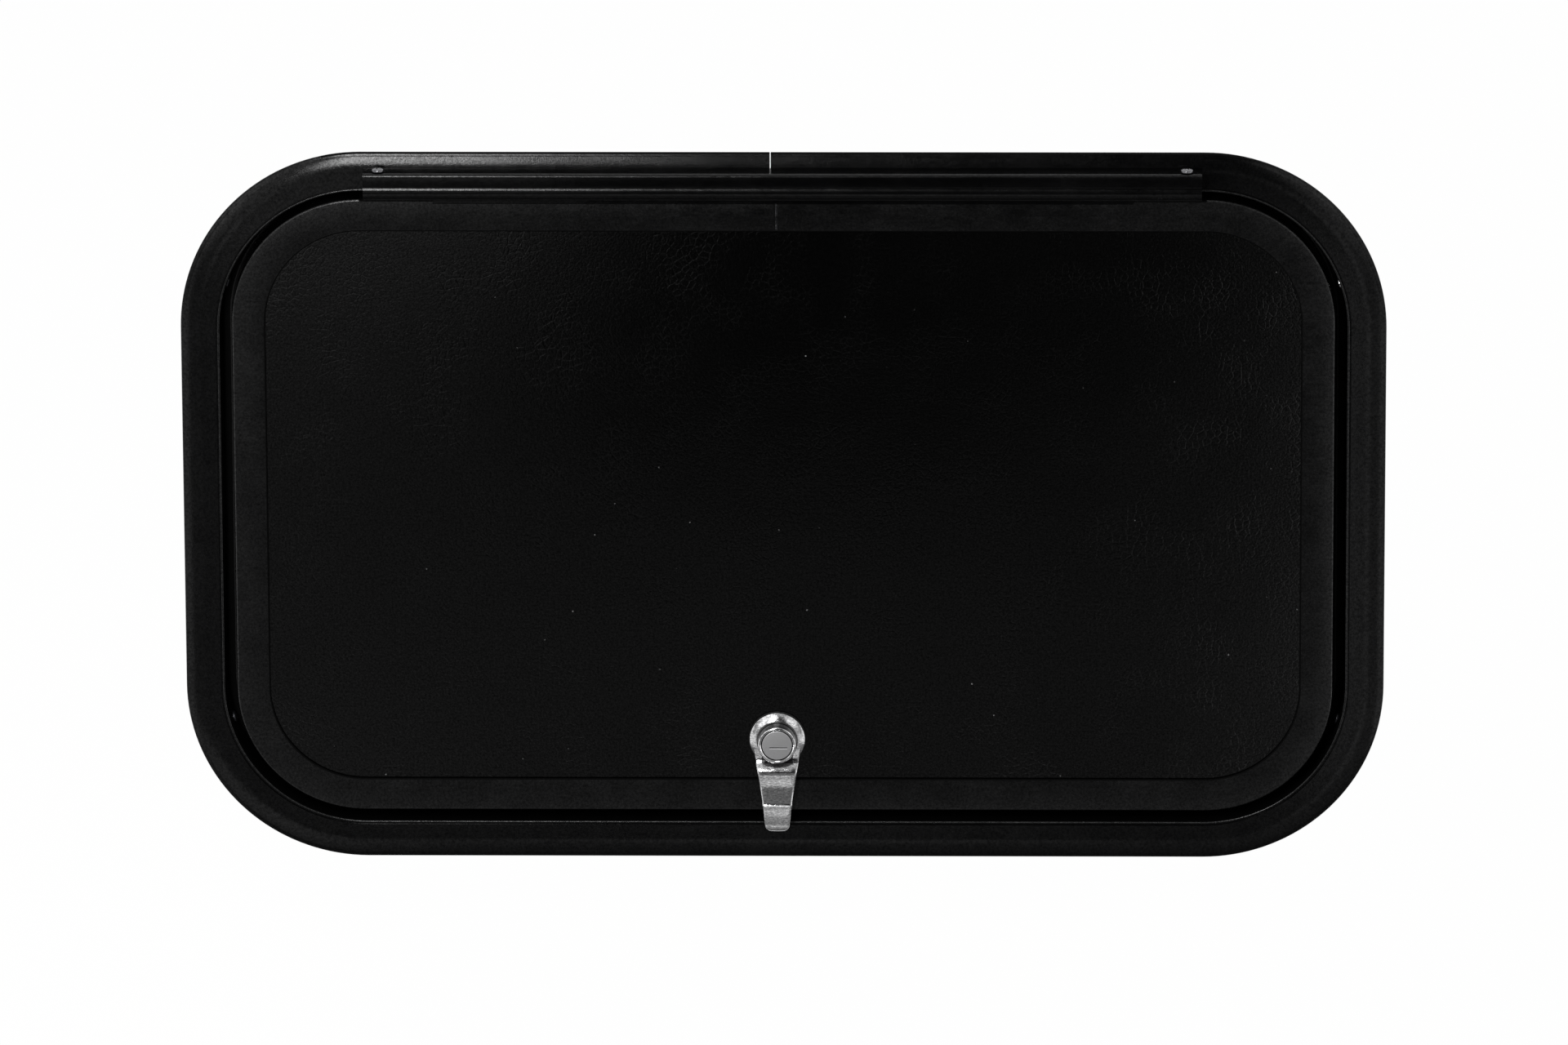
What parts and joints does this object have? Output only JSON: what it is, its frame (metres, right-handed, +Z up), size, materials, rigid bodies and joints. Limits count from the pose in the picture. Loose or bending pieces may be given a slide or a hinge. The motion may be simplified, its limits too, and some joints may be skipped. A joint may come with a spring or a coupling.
{
  "type": "compartment hatch",
  "caption": "Black radius-corner compartment hatch: bent aluminium frame, top-hung sandwich lid on an interlocking hinge, chromed locking lever latch.",
  "frame": {"origin": "middle of the wall cut-out, on the plane where the back of the frame's flange seats", "axes": "+X to the right seen from outside, +Y into the wall, +Z up towards the hinge"},
  "size_m": [0.73, 0.0603, 0.447],
  "materials": {
    "black_coat": "satin black coat on aluminium",
    "black_skin": "glossy black, fine leather grain",
    "foam": "closed-cell foam",
    "mill_aluminium": "mill",
    "rubber": "matt",
    "chrome": "polished",
    "steel": "bright zinc",
    "black_zinc": "black zinc"
  },
  "bodies": {
    "frame": {"frame_extrusion": "black_coat", "frame_joiner": "mill_aluminium", "lid_seal": "rubber", "hinge_fixed_bar": "black_coat", "hinge_screw_left": "steel", "hinge_screw_right": "steel", "leg_screw_upper_left": "black_zinc", "leg_screw_upper_right": "steel", "leg_screw_lower_left": "black_zinc", "leg_screw_lower_right": "black_zinc"},
    "lid": {"lid_trim": "black_coat", "lid_outer_skin": "black_skin", "lid_core": "foam", "lid_inner_skin": "mill_aluminium", "trim_joiner": "mill_aluminium", "hinge_moving_bar": "black_coat", "hinge_rivet_1": "black_zinc", "hinge_rivet_2": "black_zinc", "hinge_rivet_3": "black_zinc", "hinge_rivet_4": "black_zinc", "hinge_rivet_5": "black_zinc", "hinge_rivet_6": "black_zinc", "latch_gasket": "rubber", "latch_bushing": "black_zinc", "latch_washer": "steel", "latch_nut": "steel"},
    "handle": {"handle": "chrome", "latch_spindle": "steel", "latch_cam": "steel", "cam_washer": "steel", "cam_nut": "steel", "lock_sleeve": "black_zinc"},
    "lock": {"lock_plug": "chrome"}
  },
  "joints": [
    {"name": "lid_hinge", "type": "hinge", "parent": "frame", "child": "lid", "pos_m": [0, -0.012, 0.203], "axis": [-1, 0, 0], "range_deg": [0, 110]},
    {"name": "handle_turn", "type": "hinge", "parent": "lid", "child": "handle", "pos_m": [-0.0046, 0, -0.1471], "axis": [0, -1, 0], "range_deg": [0, 90]},
    {"name": "key_turn", "type": "hinge", "parent": "handle", "child": "lock", "pos_m": [-0.0046, -0.018, -0.1471], "axis": [0, -1, 0], "range_deg": [0, 90]}
  ]
}
